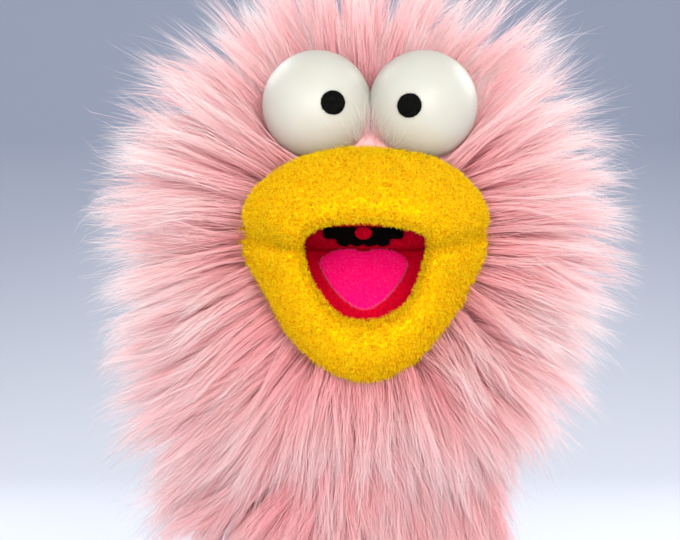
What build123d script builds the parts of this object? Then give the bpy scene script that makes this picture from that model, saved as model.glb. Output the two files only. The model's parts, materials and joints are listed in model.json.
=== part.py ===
from build123d import *
import math
import os

# Furry moving mouth hand puppet, in millimetres.
# Origin: centre of the arm opening, on the hem's lower plane. +Z up, the face looks along -Y.

# Sleeve and neck
ARM_R = 42.0            # inside of the hem, what the forearm passes through
HEM_R = 47.0            # outside of the hem band
HEM_H = 14.0
LINING_R = 43.0         # inside of the lining tube
BACKING_R = 44.3        # inside of the fur fabric's knitted backing
CLOTH = 1.0             # lining thickness
BACKING = 1.5           # fur fabric backing thickness
SLEEVE_TOP = 104.0
NECK_BASE = 104.6
NECK_TOP = 147.4
ELASTIC_Z = 112.0
ELASTIC_H = 8.0
WRIST_Z = 130.0         # the head nods about this height

# Head
HEAD_Z = 205.0          # height of the widest part
HEAD_R = 56.0
HEAD_TOP = 268.0
HEAD_BASE = 149.0
HEAD_BASE_R = 47.5
FOAM_WALL = 11.0
LAYER_GAP = 0.3

# Fur envelope: radius at each height, where the hair tips end
FUR_TOP = 312.0
FUR_SKIRT = [(58, 5), (61, 40), (64, 80), (68, SLEEVE_TOP)]
FUR_NECK = [(68, NECK_BASE), (76, 120), (87, 148.6)]
FUR_HEAD = [(88, 149.2), (98, 170), (104, 200), (104, 225), (92, 258), (70, 286), (38, 306), (0, FUR_TOP)]
FUR_FRONT_Y = -50.0     # how far forward the cheek hair reaches
CROWN_FRONT_Y = -64.0
CROWN_Z = 262.0         # seam between the crown panel and the panels below it
FACE_HALF_W = 50.0      # the bare face inside the fur
FACE_BACK_Y = -12.0
FACE_TOP_Z = 276.0

# Mouth, described closed, about the fold line across its back
FOLD_Y = -20.0
FOLD_Z = 203.0
JAW_OPEN = 42.0         # degrees open as it is stored
MOUTH_HALF_W = 25.0     # inside of the lips, along the fold
MOUTH_DEPTH = 50.0      # from the fold to the inside of the lips at the front
PLATE_LIP = 8.0         # how far the plates reach under the lips
PLATE_DROP = 5.0        # from the fold plane to the plates
PLATE_T = 2.0
FELT_T = 1.2
LIP_FACE = 0.7          # half of the gap between the closed lips
UPPER_LIP = (46.5, 70.0, 31.0)
LOWER_LIP = (45.5, 70.0, 27.0)
UPPER_CURVES = (3.0, 2.0, 2.3)   # squareness seen from the front, from above and from the side
LOWER_CURVES = (2.0, 1.8, 2.2)
OUTLINE_POINTS = 32
FLEECE = 2.0
UPPER_LIP_BACK_Y = -14.6
JAW_BACK_Y = FOLD_Y - 4.0
HAND_FRONT_Y = -13.0    # the open jaw's pad ends here, so that the palm passes behind it
FINGER_SPACE = (48.0, 42.0, 16.2)
THUMB_SPACE = (30.0, 36.0, 13.0)

# Tongue, throat and eyes
TONGUE_W = 33.0
TONGUE_L = 33.4
TONGUE_T = 1.5
TONGUE_BACK_Y = FOLD_Y - 4.2
THROAT_W = 31.0
THROAT_Z = (199.0, 206.4)
EYE_R = 20.0
EYE_WALL = 0.8
EYE_X = 2.0             # the pair sits a little to the right of the middle
EYE_HALF_GAP = 19.5     # half the distance between the ball centres
EYE_Y = -47.0
EYE_Z = 250.6
PUPIL_R = 4.3
PUPIL_T = 1.0
PUPIL_SHIFT = {"left": (6.0, -1.0), "right": (-5.8, -2.0)}
BIG = 400.0


def ring(inner_r, outer_r, low_z, high_z):
    """A plain tube about Z."""
    tube = Cylinder(outer_r, high_z - low_z) - Cylinder(inner_r, high_z - low_z)
    return Pos(0, 0, (low_z + high_z) / 2) * tube


def block(low, high):
    """A box between two corners."""
    size = [b - a for a, b in zip(low, high)]
    middle = [(a + b) / 2 for a, b in zip(low, high)]
    return Pos(*middle) * Box(*size)


def turned(outer, inner):
    """Turn the section between two open (r, z) outlines about Z."""
    outline = [*outer, *reversed(inner)]
    face = make_face(Polyline(*[(r, 0, z) for r, z in outline], close=True))
    return revolve(face, Axis.Z, 360)


def head_line(inset, base_inset):
    """The head's (r, z) outline from its base to its top, moved inwards."""
    steps = 14
    top, side, base = HEAD_TOP - inset, HEAD_R - inset, HEAD_BASE_R - base_inset
    low = []
    for n in range(5):
        t = n / 5
        swell = math.sin(t * math.pi / 2)
        low.append((base + (side - base) * swell, HEAD_BASE + (HEAD_Z - HEAD_BASE) * t))
    dome = []
    for n in range(steps + 1):
        a = math.pi / 2 * n / steps
        dome.append((max(side * math.cos(a), 0.0), HEAD_Z + (top - HEAD_Z) * math.sin(a)))
    return low + dome


def head_shell(outer_inset, inner_inset, inner_base_inset):
    """A layer of the head: its walls between two insets, open at the neck."""
    outer = head_line(outer_inset, outer_inset)
    return turned(outer, head_line(inner_inset, inner_base_inset))


def eye_centre(side):
    sign = -1 if side == "left" else 1
    return (EYE_X + sign * EYE_HALF_GAP, EYE_Y, EYE_Z)


def oval(half_w, half_h, squareness):
    """An ellipse that is fuller than round above a squareness of 2, and leaner below it."""
    points = []
    for n in range(OUTLINE_POINTS):
        a = 2 * math.pi * (n + 0.5) / OUTLINE_POINTS
        c, s = math.cos(a), math.sin(a)
        x = math.copysign(abs(c) ** (2 / squareness), c) * half_w
        y = math.copysign(abs(s) ** (2 / squareness), s) * half_h
        points.append((x, y))
    return make_face(Spline(*points, periodic=True))


def through(face, plane):
    """A face as a long bar both ways out of a plane."""
    return extrude(plane * face, BIG, both=True)


def mouth_outline(grow, back_y):
    """The inside of the lips from above, grown outwards by a margin."""
    nose = Pos(0, FOLD_Y) * Ellipse(MOUTH_HALF_W + grow, MOUTH_DEPTH + grow)
    rear = Pos(0, back_y + BIG / 2) * Rectangle(BIG, BIG)
    if back_y > FOLD_Y:
        nose += Pos(0, (FOLD_Y + back_y) / 2) * Rectangle(2 * (MOUTH_HALF_W + grow), back_y - FOLD_Y)
    return nose - rear


def mouth_slab(grow, back_y, low_z, high_z):
    """The mouth's D shape as a slab between two heights."""
    return Pos(0, 0, low_z) * extrude(mouth_outline(grow, back_y), high_z - low_z)


def lip_blank(upper, shrink):
    """Half of the muzzle's pillow, above or below the fold plane."""
    sign = 1 if upper else -1
    back_y = UPPER_LIP_BACK_Y if upper else JAW_BACK_Y
    half_w, depth, height = [r - shrink for r in (UPPER_LIP if upper else LOWER_LIP)]
    front, plan, side = UPPER_CURVES if upper else LOWER_CURVES
    middle = (0, FOLD_Y, FOLD_Z)
    pillow = through(oval(half_w, height, front), Plane(origin=middle, x_dir=(1, 0, 0), z_dir=(0, -1, 0)))
    pillow &= through(oval(half_w, depth, plan), Plane(origin=middle, x_dir=(1, 0, 0), z_dir=(0, 0, 1)))
    pillow &= through(oval(depth, height, side), Plane(origin=middle, x_dir=(0, 1, 0), z_dir=(1, 0, 0)))
    face_z = FOLD_Z + sign * (LIP_FACE + shrink)
    far_z = FOLD_Z + sign * BIG
    low_z, high_z = sorted((face_z, far_z))
    keep = block((-BIG, -BIG, low_z), (BIG, back_y, high_z))
    if not upper:
        hand = block((-BIG, HAND_FRONT_Y - shrink, -BIG), (BIG, BIG, BIG))
        keep -= hand.rotate(Axis((0, FOLD_Y, FOLD_Z), (1, 0, 0)), -JAW_OPEN)
    return pillow & keep


def upper_cavities(grow):
    """What the upper lip leaves room for: the mouth, its plate, the fingers and the eyes."""
    plate_z = FOLD_Z + PLATE_DROP
    room = mouth_slab(grow, 0, FOLD_Z - 1, plate_z + PLATE_T)
    room += mouth_slab(PLATE_LIP + LAYER_GAP, 0, plate_z - LAYER_GAP, plate_z + PLATE_T + LAYER_GAP)
    wide, deep, high = FINGER_SPACE
    low_z = plate_z + PLATE_T
    front_y = UPPER_LIP_BACK_Y - deep
    room += block((-wide / 2 - grow, front_y - grow, low_z), (wide / 2 + grow, 0, low_z + high + grow))
    for side in PUPIL_SHIFT:
        room += Pos(*eye_centre(side)) * Sphere(EYE_R + PUPIL_T + LAYER_GAP)
    return room


def lower_cavities(grow):
    """What the lower lip leaves room for: the mouth, its plate and the thumb."""
    plate_z = FOLD_Z - PLATE_DROP
    room = mouth_slab(grow, 0, plate_z - PLATE_T, FOLD_Z + 1)
    room += mouth_slab(PLATE_LIP + LAYER_GAP, 0, plate_z - PLATE_T - LAYER_GAP, plate_z + LAYER_GAP)
    wide, deep, high = THUMB_SPACE
    high_z = plate_z - PLATE_T
    front_y = JAW_BACK_Y - deep
    room += block((-wide / 2 - grow, front_y - grow, high_z - high - grow), (wide / 2 + grow, 0, high_z))
    return room


def lip_pair(upper):
    """The foam pad of a lip and the fleece cover over its outside."""
    cavities = upper_cavities if upper else lower_cavities
    whole = lip_blank(upper, 0)
    core = lip_blank(upper, FLEECE)
    foam = core - cavities(FLEECE)
    padded = lip_blank(upper, FLEECE - LAYER_GAP)
    cover = (whole - cavities(0)) - (padded - cavities(FLEECE - LAYER_GAP))
    return largest(foam), largest(cover)


def largest(shape):
    """The biggest solid of a shape, without slivers left by the cuts."""
    return max(shape.solids(), key=lambda s: s.volume)


def in_jaw(shape):
    """Swing a piece from the closed mouth down to where the jaw is stored."""
    return shape.rotate(Axis((0, FOLD_Y, FOLD_Z), (1, 0, 0)), JAW_OPEN)


def strap(inside_w, inside_h, thickness, length, middle_y, base_z, up):
    """An elastic loop standing on a mouth plate."""
    sign = 1 if up else -1
    outer = Rectangle(inside_w + 2 * thickness, 2 * (inside_h + thickness))
    inner = Rectangle(inside_w, 2 * inside_h)
    outer = fillet(outer.vertices(), inside_h / 2)
    inner = fillet(inner.vertices(), inside_h / 2 - thickness)
    half = Pos(0, sign * BIG / 2) * Rectangle(BIG, BIG)
    arch = (outer - inner) & half
    plane = Plane(origin=(0, middle_y + length / 2, base_z), x_dir=(1, 0, 0), z_dir=(0, -1, 0))
    return extrude(plane * arch, length)


def heart(width, length):
    """A broad heart with a shallow notch at y 0 and a rounded tip towards -Y."""
    top = length * 0.27
    points = []
    steps = 40
    for n in range(steps + 1):
        x = width / 2 * math.sin(math.pi / 2 * (2 * n / steps - 1))
        k = min(abs(2 * x / width), 1)
        notch = length * 0.07 * math.exp(-(x / (width * 0.1)) ** 2)
        points.append((x, top * (1 - k ** 2.6) ** 0.5 - notch))
    for n in range(steps - 1, 0, -1):
        x = width / 2 * math.sin(math.pi / 2 * (2 * n / steps - 1))
        k = min(math.hypot(2 * x / width, 0.06), 1)
        points.append((x, (top - length) * (1 - k ** 1.75) ** 0.85))
    return Pos(0, -top) * make_face(Polyline(*points, close=True))


def sleeve_nodes():
    nodes = {}
    nodes["hem_band"] = ring(ARM_R, HEM_R, 0, HEM_H)
    nodes["sleeve_lining"] = ring(LINING_R, LINING_R + CLOTH, HEM_H, SLEEVE_TOP)
    nodes["sleeve_backing"] = ring(BACKING_R, BACKING_R + BACKING, HEM_H, SLEEVE_TOP)
    root_r = BACKING_R + BACKING + LAYER_GAP
    hem_r = HEM_R + LAYER_GAP
    fur = turned(FUR_SKIRT, [(hem_r, 5), (hem_r, HEM_H + 2), (root_r, HEM_H + 4), (root_r, SLEEVE_TOP)])
    nodes["sleeve_fur_front"] = fur & block((-BIG, -BIG, 0), (BIG, -LAYER_GAP / 2, BIG))
    nodes["sleeve_fur_back"] = fur & block((-BIG, LAYER_GAP / 2, 0), (BIG, BIG, BIG))
    return nodes


def neck_nodes():
    nodes = {}
    nodes["neck_lining"] = ring(LINING_R, LINING_R + CLOTH, NECK_BASE, NECK_TOP)
    nodes["neck_backing"] = ring(BACKING_R, BACKING_R + BACKING, NECK_BASE, NECK_TOP)
    elastic_r = LINING_R - LAYER_GAP
    nodes["neck_elastic"] = ring(elastic_r - 1.4, elastic_r, ELASTIC_Z, ELASTIC_Z + ELASTIC_H)
    root_r = BACKING_R + BACKING + LAYER_GAP
    nodes["neck_fur"] = turned(FUR_NECK, [(root_r, NECK_BASE), (root_r, 148.6)])
    return nodes


def mouth_room():
    """The space in the head that the mouth, the fingers and the eyes take."""
    room = block((-70, -150, 100), (70, 2, 200))
    room += block((-70, -150, 199), (70, -14, 206))
    room += lip_blank(True, -LAYER_GAP)
    wide, deep, high = FINGER_SPACE
    low_z = FOLD_Z + PLATE_DROP
    room += block((-wide / 2, -70, low_z - 4), (wide / 2, -20, low_z + PLATE_T + high))
    for side in PUPIL_SHIFT:
        room += Pos(*eye_centre(side)) * Sphere(EYE_R + LAYER_GAP)
    return room


def head_shell_nodes():
    nodes = {}
    room = mouth_room()
    nodes["head_backing"] = largest(head_shell(0, BACKING, BACKING) - room)
    foam = head_shell(BACKING + LAYER_GAP, FOAM_WALL, FOAM_WALL * 0.6) - room
    gap = LAYER_GAP / 3
    nodes["head_foam_left"] = largest(foam & block((-BIG, -BIG, 0), (-gap, BIG, BIG)))
    nodes["head_foam_right"] = largest(foam & block((gap, -BIG, 0), (BIG, BIG, BIG)))
    return nodes


def head_fur_nodes():
    nodes = {}
    skin = [(r, max(z, 149.2)) for r, z in head_line(-LAYER_GAP, -LAYER_GAP)]
    fur = turned(FUR_HEAD[:-1] + [(0, FUR_TOP)], skin)
    fur -= block((-FACE_HALF_W, -BIG, 100), (FACE_HALF_W, FACE_BACK_Y, FACE_TOP_Z))
    fur -= block((-BIG, -BIG, 0), (BIG, FUR_FRONT_Y, CROWN_Z - 6))
    fur -= block((-BIG, -BIG, 0), (BIG, CROWN_FRONT_Y, BIG))
    gap = LAYER_GAP / 2
    nodes["crown_fur"] = largest(fur & block((-BIG, -BIG, CROWN_Z), (BIG, BIG, BIG)))
    below = fur & block((-BIG, -BIG, 0), (BIG, BIG, CROWN_Z - LAYER_GAP))
    nodes["back_fur"] = largest(below & block((-BIG, gap, 0), (BIG, BIG, BIG)))
    nodes["left_cheek_fur"] = largest(below & block((-BIG, -BIG, 0), (-gap, -gap, BIG)))
    nodes["right_cheek_fur"] = largest(below & block((gap, -BIG, 0), (BIG, -gap, BIG)))
    return nodes


def upper_mouth_nodes():
    nodes = {}
    plate_z = FOLD_Z + PLATE_DROP
    nodes["upper_mouth_plate"] = mouth_slab(PLATE_LIP, FOLD_Y, plate_z, plate_z + PLATE_T)
    nodes["palate_felt"] = mouth_slab(-LAYER_GAP, FOLD_Y, plate_z - FELT_T, plate_z)
    nodes["upper_lip_foam"], nodes["upper_lip_cover"] = lip_pair(True)
    wall_half = MOUTH_HALF_W - LAYER_GAP
    wall_y = -14.8
    nodes["fold_felt"] = block((-wall_half, wall_y - FELT_T, 197.5), (wall_half, wall_y, plate_z - 0.2))
    low_z, high_z = THROAT_Z
    height = high_z - low_z
    patch = Rectangle(THROAT_W, height * 0.6)
    patch = Pos(0, height * 0.2) * fillet(patch.vertices(), 1.5)
    patch += Pos(0, -height * 0.15) * Rectangle(THROAT_W * 0.62, height * 0.4)
    for share in (-0.24, -0.08, 0.08, 0.24):
        patch += Pos(share * THROAT_W, -height / 2 + 2.2) * Ellipse(THROAT_W * 0.09, 2.2)
    uvula = Ellipse(3.4, 2.6)
    patch_y = wall_y - FELT_T
    place = Plane(origin=(0, patch_y, (low_z + high_z) / 2), x_dir=(1, 0, 0), z_dir=(0, -1, 0))
    nodes["throat_patch"] = extrude(place * patch, FELT_T)
    place = Plane(origin=(0, patch_y - FELT_T, high_z - 2.2), x_dir=(1, 0, 0), z_dir=(0, -1, 0))
    nodes["uvula"] = extrude(place * uvula, FELT_T)
    strap_y = -42.0
    nodes["finger_strap"] = strap(43.0, 14.5, 1.2, 18.0, strap_y, plate_z + PLATE_T, True)
    nodes["hinge_tape_upper"] = block((-24, FOLD_Y - 12, plate_z + PLATE_T),
                                      (24, FOLD_Y, plate_z + PLATE_T + 0.5))
    return nodes


def jaw_nodes():
    nodes = {}
    plate_z = FOLD_Z - PLATE_DROP
    nodes["lower_mouth_plate"] = mouth_slab(PLATE_LIP, JAW_BACK_Y, plate_z - PLATE_T, plate_z)
    nodes["floor_felt"] = mouth_slab(-LAYER_GAP, JAW_BACK_Y, plate_z, plate_z + FELT_T)
    top_z = plate_z + FELT_T
    place = Pos(0, TONGUE_BACK_Y, top_z)
    nodes["tongue"] = place * extrude(heart(TONGUE_W, TONGUE_L), TONGUE_T)
    nodes["lower_lip_foam"], nodes["lower_lip_cover"] = lip_pair(False)
    base_z = plate_z - PLATE_T
    nodes["thumb_strap"] = strap(24.0, 11.0, 1.2, 16.0, -42.0, base_z, False)
    nodes["hinge_tape_lower"] = block((-14, JAW_BACK_Y - 9, base_z - 0.5), (14, JAW_BACK_Y, base_z))
    return {name: in_jaw(shape) for name, shape in nodes.items()}


def chin_nodes():
    """The short fur fabric panel from the lower lip's underside to the neck."""
    nodes = {}
    root_r = BACKING_R + BACKING
    room = in_jaw(lip_blank(False, -LAYER_GAP))
    front = block((-32, -BIG, 149.2), (32, -25, 175))
    below = block((-BIG, -BIG, 0), (BIG, -20, 166))
    backing = (ring(root_r - BACKING, root_r, 149.2, 166) & front & below) - room
    fur = (ring(root_r + LAYER_GAP, 62, 149.2, 166) & front & below) - room
    nodes["chin_backing"] = backing
    nodes["chin_fur"] = fur
    return nodes


def eye_nodes():
    nodes = {}
    seam_gap = 0.1
    for side, shift in PUPIL_SHIFT.items():
        centre = eye_centre(side)
        ball = Pos(*centre) * (Sphere(EYE_R) - Sphere(EYE_R - EYE_WALL))
        if side == "left":
            keep = block((-BIG, -BIG, 0), (EYE_X - seam_gap, BIG, BIG))
        else:
            keep = block((EYE_X + seam_gap, -BIG, 0), (BIG, BIG, BIG))
        nodes[f"{side}_eye"] = ball & keep
        disc_x = centre[0] + shift[0]
        disc_z = centre[2] + shift[1]
        bar = Plane(origin=(disc_x, EYE_Y, disc_z), z_dir=(0, -1, 0)) * Circle(PUPIL_R)
        skin = Pos(*centre) * (Sphere(EYE_R + PUPIL_T) - Sphere(EYE_R + 0.02))
        nodes[f"{side}_pupil"] = largest(skin & extrude(bar, EYE_R + 5))
    return nodes


def main():
    os.makedirs("parts", exist_ok=True)
    nodes = {}
    for make in (sleeve_nodes, neck_nodes, head_shell_nodes, head_fur_nodes, upper_mouth_nodes,
                 jaw_nodes, chin_nodes, eye_nodes):
        nodes.update(make())
    for name, shape in nodes.items():
        export_step(shape, f"parts/{name}.step")
    print(len(nodes), "nodes")


main()
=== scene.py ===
"""The moving mouth puppet's looks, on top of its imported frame. Everything is in metres, and the face looks
towards -Y. The fur and the fleece are built fibre by fibre, and each soft solid of the CAD is replaced."""

import json
import math

import bpy
import numpy as np
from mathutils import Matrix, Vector
from mathutils.kdtree import KDTree


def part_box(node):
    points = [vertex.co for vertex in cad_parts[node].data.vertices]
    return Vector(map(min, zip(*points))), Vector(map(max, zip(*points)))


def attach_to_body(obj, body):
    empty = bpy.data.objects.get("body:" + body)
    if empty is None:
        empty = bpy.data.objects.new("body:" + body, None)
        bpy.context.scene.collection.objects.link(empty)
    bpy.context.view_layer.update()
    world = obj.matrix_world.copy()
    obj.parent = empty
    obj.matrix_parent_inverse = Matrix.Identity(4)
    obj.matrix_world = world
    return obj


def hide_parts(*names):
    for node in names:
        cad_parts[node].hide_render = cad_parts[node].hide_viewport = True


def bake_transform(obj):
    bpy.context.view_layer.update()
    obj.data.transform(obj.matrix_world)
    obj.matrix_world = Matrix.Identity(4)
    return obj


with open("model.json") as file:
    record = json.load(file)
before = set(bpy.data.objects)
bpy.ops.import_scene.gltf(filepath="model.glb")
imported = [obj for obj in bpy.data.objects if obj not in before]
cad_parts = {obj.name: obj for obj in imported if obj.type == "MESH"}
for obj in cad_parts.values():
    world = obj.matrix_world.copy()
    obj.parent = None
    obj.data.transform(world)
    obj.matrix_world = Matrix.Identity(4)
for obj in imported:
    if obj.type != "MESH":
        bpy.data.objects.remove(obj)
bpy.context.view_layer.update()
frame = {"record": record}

MM = 0.001
SEED = 7

# ---------------------------------------------------------------- the frame, in metres


def box_of(node):
    """A node's lowest and highest corner as numpy arrays."""
    low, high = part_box(node)
    return np.array(low), np.array(high)


def joint(name):
    return next(j for j in frame["record"]["behaviour"]["joints"] if j["name"] == name)


FOLD = np.array(joint("jaw_hinge")["pos_m"])
JAW_OPEN = math.radians(42)
LEFT_EYE = box_of("left_eye")
RIGHT_EYE = box_of("right_eye")
EYE_R = (LEFT_EYE[1][2] - LEFT_EYE[0][2]) / 2
SEAM_X = (LEFT_EYE[1][0] + RIGHT_EYE[0][0]) / 2
EYE_Z = (LEFT_EYE[1][2] + LEFT_EYE[0][2]) / 2
EYE_Y = (LEFT_EYE[1][1] + LEFT_EYE[0][1]) / 2
EYES = {
    "left": np.array([LEFT_EYE[0][0] + EYE_R, EYE_Y, EYE_Z]),
    "right": np.array([RIGHT_EYE[1][0] - EYE_R, EYE_Y, EYE_Z]),
}

HEAD_BACK = box_of("head_backing")
HEAD_R = HEAD_BACK[1][0]
HEAD_TOP = HEAD_BACK[1][2]
HEAD_BASE = HEAD_BACK[0][2]
HEAD_Z = 205 * MM
HEAD_BASE_R = 47.5 * MM
SLEEVE_R = box_of("sleeve_backing")[1][0]
SLEEVE_LOW = box_of("sleeve_backing")[0][2]
NECK_TOP = box_of("neck_backing")[1][2]
WRIST_Z = 118 * MM          # where the sleeve's fabric ends and the neck's begins
UPPER_LIP = box_of("upper_lip_cover")
LIP_HALF_W = UPPER_LIP[1][0] - 0.6 * MM
FACE_Z = FOLD[2]

# ---------------------------------------------------------------- numbers that vary smoothly


def lattice(cells):
    """A repeatable random value for each integer lattice cell."""
    x, y, z = (cells[..., i].astype(np.int64) for i in range(3))
    n = (x * 73856093) ^ (y * 19349663) ^ (z * 83492791)
    n = (n ^ (n >> 13)) * 1274126177
    return ((n ^ (n >> 16)) & 0xFFFF) / 65535.0


def value_noise(points, size):
    """Smooth noise in 0..1 at points, with features of about the given size."""
    p = points / size
    low = np.floor(p).astype(np.int64)
    f = p - low
    f = f * f * (3 - 2 * f)
    total = np.zeros(len(points))
    for corner in range(8):
        pick = np.array([(corner >> i) & 1 for i in range(3)])
        weight = np.prod(np.where(pick, f, 1 - f), axis=1)
        total += weight * lattice(low + pick)
    return total


def unit(v):
    return v / np.maximum(np.linalg.norm(v, axis=-1, keepdims=True), 1e-12)


def smooth(t, start, end):
    """0 before start, 1 after end, and smooth between."""
    t = np.clip((t - start) / (end - start), 0, 1)
    return t * t * (3 - 2 * t)


# ---------------------------------------------------------------- materials


def ramp(nodes, stops):
    node = nodes.new("ShaderNodeValToRGB")
    elements = node.color_ramp.elements
    while len(elements) < len(stops):
        elements.new(0.5)
    for element, (at, colour) in zip(elements, stops):
        element.position = at
        element.color = (*colour, 1)
    return node


class Material:
    """A Principled material with short ways to add procedural detail. In a socket's name _ is a space."""

    def __init__(self, name, rough, **sockets):
        self.data = bpy.data.materials.new(name)
        self.data.use_nodes = True
        tree = self.data.node_tree
        self.nodes, self.links = tree.nodes, tree.links
        self.shader = self.nodes["Principled BSDF"]
        self.set(self.shader, **{"Roughness": rough, "Specular_IOR_Level": 0.15, **sockets})

    def set(self, node, **values):
        for socket, value in values.items():
            node.inputs[socket.replace("_", " ")].default_value = value

    def add(self, kind, source=None, **values):
        """A shader node with its constants, and its vector or its first socket linked to source."""
        node = self.nodes.new("ShaderNode" + kind)
        self.set(node, **values)
        if source:
            self.links.new(source, node.inputs["Vector"] if "Vector" in node.inputs else node.inputs[0])
        return node

    def coordinates(self):
        return self.add("TexCoord").outputs["Object"]

    def noise(self, scale, detail=3.0, rough=0.55):
        node = self.add("TexNoise", self.coordinates(), Scale=scale, Detail=detail, Roughness=rough)
        return node.outputs["Fac"]

    def colour(self, factor, stops):
        node = ramp(self.nodes, stops)
        self.links.new(factor, node.inputs["Fac"])
        self.links.new(node.outputs["Color"], self.shader.inputs["Base Color"])

    def bump(self, height, distance, strength=1.0):
        node = self.add("Bump", Strength=strength, Distance=distance)
        self.links.new(height, node.inputs["Height"])
        self.links.new(node.outputs["Normal"], self.shader.inputs["Normal"])


def fur_material(name, stops, whiten, gloss):
    """Fibre colour from root to tip down the V coordinate, with a tone per fibre along U."""
    m = Material(name, 0.6, Specular_IOR_Level=gloss)
    uv = m.add("UVMap")
    uv.uv_map = "OFBake"
    split = m.add("SeparateXYZ", uv.outputs["UV"])
    tone = m.add("MapRange", To_Min=-whiten, To_Max=whiten)
    m.links.new(split.outputs["X"], tone.inputs["Value"])
    total = m.add("Math", split.outputs["Y"])
    total.operation = "ADD"
    m.links.new(tone.outputs["Result"], total.inputs[1])
    m.colour(total.outputs["Value"], stops)
    return m.data


def felt_material(name, dark, light, painted_glow=None):
    """Wool felt. A glow colour, when given, makes the felt give off a little light of its own colour though
    it is no lamp: painted light.
    """
    m = Material(name, 0.95, Specular_IOR_Level=0.05)
    if painted_glow:
        # painted glow: the felt gives off light of its own, brightening it where the mouth's shade falls
        m.set(m.shader, Emission_Color=(*painted_glow, 1), Emission_Strength=0.14)
    m.colour(m.noise(900, 4), [(0.3, dark), (0.7, light)])
    m.bump(m.noise(1400, 5, 0.7), 0.0006, 0.7)
    return m.data


PINK_FUR = fur_material(
    "pink_faux_fur",
    [(0.0, (0.93, 0.38, 0.41)), (0.26, (0.95, 0.48, 0.50)),
     (0.58, (0.955, 0.63, 0.635)), (0.93, (0.97, 0.88, 0.86))],
    0.24,
    0.2,
)
YELLOW_FIBRE = fur_material(
    "yellow_fleece_fibre",
    [(0.0, (0.80, 0.32, 0.0)), (0.35, (1.0, 0.55, 0.0)), (1.0, (1.0, 0.80, 0.01))],
    0.3,
    0.05,
)
RED_FELT = felt_material("red_wool_felt", (0.52, 0.0, 0.014), (0.82, 0.001, 0.035))
BLACK_FELT = felt_material("black_wool_felt", (0.0015, 0.0015, 0.0012), (0.006, 0.006, 0.005))
# the tongue's felt glows with painted light, to brighten it in the mouth's shade
TONGUE_FELT = felt_material("hot_pink_felt", (0.93, 0.001, 0.14), (1.0, 0.004, 0.22), painted_glow=(1.0, 0.0, 0.16))


def skin_material():
    m = Material("fur_backing_knit", 0.9, Sheen_Weight=0.1)
    m.colour(m.noise(400, 3), [(0.3, (0.90, 0.46, 0.48)), (0.7, (0.94, 0.56, 0.57))])
    m.bump(m.noise(1500, 3), 0.0005, 0.6)
    return m.data


def fleece_material():
    m = Material("yellow_fleece", 0.95, Specular_IOR_Level=0.05)
    m.colour(m.noise(1100, 4, 0.65), [(0.3, (0.92, 0.44, 0.0)), (0.5, (0.99, 0.58, 0.0)),
                                      (0.72, (1.0, 0.70, 0.004))])
    m.bump(m.noise(1300, 4, 0.7), 0.0008, 0.8)
    return m.data


def eye_material():
    m = Material("matte_white_ball", 0.42, Specular_IOR_Level=0.4, Subsurface_Weight=0.25,
                 Subsurface_Scale=0.004)
    m.colour(m.noise(60, 2), [(0.3, (0.465, 0.46, 0.40)), (0.7, (0.49, 0.485, 0.425))])
    m.bump(m.noise(2500, 2), 0.0001, 0.15)
    return m.data


SKIN = skin_material()
FLEECE = fleece_material()
EYE_WHITE = eye_material()

# ---------------------------------------------------------------- mesh building


def new_piece(name, material, points, counts, corners, uv=None):
    """A mesh object from points, the number of corners of each face, and all corners in order."""
    mesh = bpy.data.meshes.new(name)
    mesh.vertices.add(len(points))
    mesh.vertices.foreach_set("co", np.ascontiguousarray(points, np.float32).ravel())
    mesh.loops.add(len(corners))
    mesh.loops.foreach_set("vertex_index", np.ascontiguousarray(corners, np.int32))
    starts = np.concatenate([[0], np.cumsum(counts)[:-1]]).astype(np.int32)
    mesh.polygons.add(len(counts))
    mesh.polygons.foreach_set("loop_start", starts)
    mesh.polygons.foreach_set("use_smooth", np.ones(len(counts), bool))
    if uv is not None:
        layer = mesh.uv_layers.new(name="OFBake", do_init=False)
        layer.data.foreach_set("uv", np.ascontiguousarray(uv, np.float32).ravel())
    mesh.update(calc_edges=True)
    mesh.materials.append(material)
    piece = bpy.data.objects.new(name, mesh)
    bpy.context.scene.collection.objects.link(piece)
    return piece


def grid_piece(name, material, grid, wrap=True, caps=()):
    """A surface over rows of points. grid is (rows, columns, 3), and caps says which end rows to close."""
    rows, columns, _ = grid.shape
    points = grid.reshape(-1, 3)
    i, j = np.meshgrid(np.arange(rows - 1), np.arange(columns if wrap else columns - 1), indexing="ij")
    i, j = i.ravel(), j.ravel()
    k = (j + 1) % columns
    quads = np.stack([i * columns + j, i * columns + k, (i + 1) * columns + k, (i + 1) * columns + j], 1)
    faces = [quads.ravel()]
    counts = [np.full(len(quads), 4)]
    for row in caps:
        ring = np.arange(columns) + (rows - 1 if row else 0) * columns
        faces.append(ring if row else ring[::-1])
        counts.append([columns])
    return new_piece(name, material, points, np.concatenate(counts), np.concatenate(faces))


def shell_piece(name, material, outside, inside, keep):
    """A closed cloth wall between two grids of points that go round, of the cells that keep marks."""
    rows, columns, _ = outside.shape
    half = rows * columns

    def at(i, j):
        return i * columns + j % columns

    i, j = np.nonzero(keep)
    front = np.stack([at(i, j), at(i, j + 1), at(i + 1, j + 1), at(i + 1, j)], 1)
    faces = [front, front[:, ::-1] + half]
    padded = np.zeros((rows + 1, columns), bool)
    padded[1:rows] = keep
    left, right = np.roll(keep, 1, 1), np.roll(keep, -1, 1)
    for a, b, edge in (((0, 1), (0, 0), ~padded[:rows - 1]), ((1, 0), (1, 1), ~padded[2:rows + 1]),
                       ((0, 0), (1, 0), ~left), ((1, 1), (0, 1), ~right)):
        i, j = np.nonzero(keep & edge)
        p, q = at(i + a[0], j + a[1]), at(i + b[0], j + b[1])
        faces.append(np.stack([p, q, q + half, p + half], 1))
    quads = np.concatenate(faces)
    points = np.concatenate([outside.reshape(-1, 3), inside.reshape(-1, 3)])
    used, corners = np.unique(quads, return_inverse=True)
    return new_piece(name, material, points[used], np.full(len(quads), 4), corners.ravel())


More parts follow.
